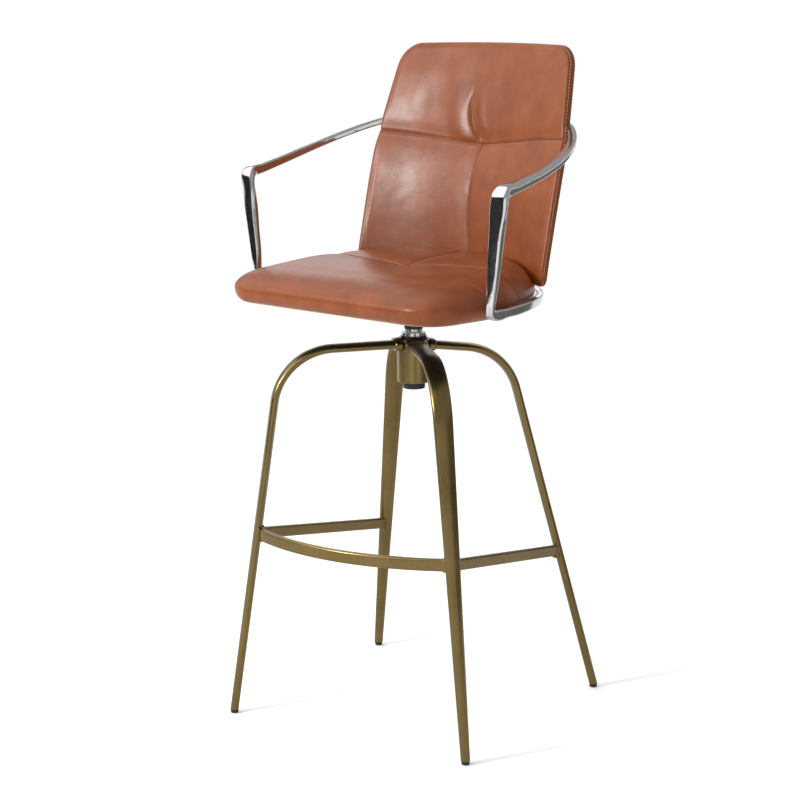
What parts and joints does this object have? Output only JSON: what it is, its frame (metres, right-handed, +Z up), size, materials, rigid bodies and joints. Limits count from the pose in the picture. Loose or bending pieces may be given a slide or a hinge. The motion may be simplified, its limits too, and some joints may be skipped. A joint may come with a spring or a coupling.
{
  "type": "bar stool",
  "caption": "Swivel bar stool with splayed tapered legs, a bowed footrest, a leather seat and back, and open looped arms.",
  "frame": {"origin": "on the floor under the swivel axis, midway between the foot glides", "axes": "+Z up along the swivel axis, -Y the way the seat faces at rest, +X to the sitter's left-hand arm"},
  "size_m": [0.59, 0.5259, 1.096],
  "materials": {
    "brass_tube": "antique brushed",
    "black_plastic": "moulded",
    "bright_steel": "turned",
    "chrome_trim": "polished",
    "chrome_arm": "polished casting",
    "black_metal": "satin powder coat",
    "plywood": "raw plywood",
    "black_cloth": "woven dust cloth",
    "leather_seat": "semi-gloss, fine pebble grain",
    "leather_back": "semi-gloss, fine pebble grain"
  },
  "bodies": {
    "base": {"hub_sleeve": "brass_tube", "leg_front_left": "brass_tube", "leg_front_right": "brass_tube", "leg_rear_left": "brass_tube", "leg_rear_right": "brass_tube", "footrest_front": "brass_tube", "side_rail_left": "brass_tube", "side_rail_right": "brass_tube", "foot_glide_front_left": "black_plastic", "foot_glide_front_right": "black_plastic", "foot_glide_rear_left": "black_plastic", "foot_glide_rear_right": "black_plastic", "upper_bushing": "black_plastic", "lower_bushing": "black_plastic", "lower_thrust_washer": "black_plastic", "hub_end_cap": "black_plastic"},
    "seat": {"spindle": "bright_steel", "spindle_circlip": "bright_steel", "spindle_flange": "chrome_trim", "spindle_neck": "chrome_trim", "swivel_plate": "black_metal", "swivel_plate_bolts": "black_metal", "seat_tee_nuts": "bright_steel", "seat_pan": "plywood", "seat_dust_cover": "black_cloth", "seat_cushion": "leather_seat", "back_shell": "plywood", "back_cushion": "leather_back", "back_rear_panel": "leather_back", "back_stays": "black_metal", "rail_studs": "bright_steel", "back_spacers": "chrome_trim", "arm_left": "chrome_arm", "arm_right": "chrome_arm", "back_screws": "chrome_trim", "bracket_wood_screws": "bright_steel", "arm_joint_pins": "bright_steel"}
  },
  "joints": [
    {"name": "seat_swivel", "type": "hinge", "parent": "base", "child": "seat", "pos_m": [0, 0, 0.6], "axis": [0, 0, 1], "continuous": true}
  ]
}
